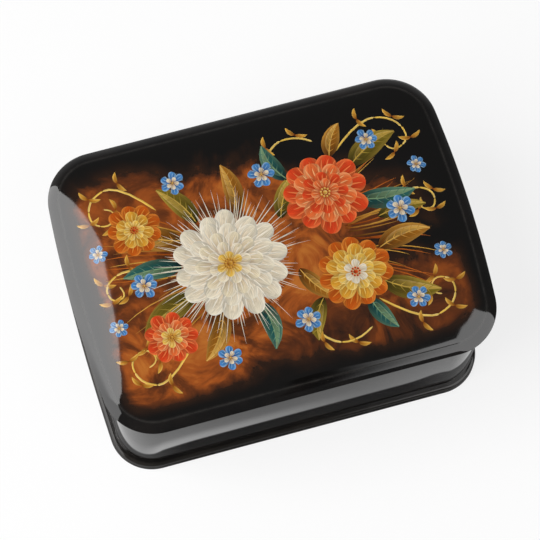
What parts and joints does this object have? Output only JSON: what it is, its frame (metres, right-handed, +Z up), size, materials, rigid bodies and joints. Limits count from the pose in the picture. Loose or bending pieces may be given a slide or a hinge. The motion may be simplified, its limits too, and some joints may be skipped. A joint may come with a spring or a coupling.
{
  "type": "lacquer box",
  "caption": "Low rectangular lacquered keepsake box with rounded corners and a domed, rear-hinged lid that bears a painted floral ornament on black.",
  "frame": {"origin": "middle of the underside, on the surface that the box stands on", "axes": "+Z up, +X along the long side, +Y towards the back, where the hinges are"},
  "size_m": [0.14, 0.1024, 0.0567],
  "materials": {
    "black_lacquer": "polished black lacquer over pressed paper",
    "red_lacquer": "polished red lacquer over pressed paper",
    "lid_painting": "painted ornament on black under clear lacquer",
    "hinge_brass": "aged brass sheet",
    "nail_brass": "aged brass wire",
    "pin_steel": "drawn steel wire"
  },
  "bodies": {
    "box": {"base_plate": "black_lacquer", "body_wall": "black_lacquer", "floor_board": "red_lacquer", "inner_lip": "red_lacquer", "hinge_left_body_leaf": "hinge_brass", "hinge_left_pin": "pin_steel", "hinge_left_body_nails": "nail_brass", "hinge_right_body_leaf": "hinge_brass", "hinge_right_pin": "pin_steel", "hinge_right_body_nails": "nail_brass"},
    "lid": {"lid_rim": "black_lacquer", "lid_panel": "lid_painting", "hinge_left_lid_leaf": "hinge_brass", "hinge_left_lid_nails": "nail_brass", "hinge_right_lid_leaf": "hinge_brass", "hinge_right_lid_nails": "nail_brass"}
  },
  "joints": [
    {"name": "lid_hinge", "type": "hinge", "parent": "box", "child": "lid", "pos_m": [0, 0.04885, 0.0471], "axis": [-1, 0, 0], "range_deg": [0, 100]}
  ]
}
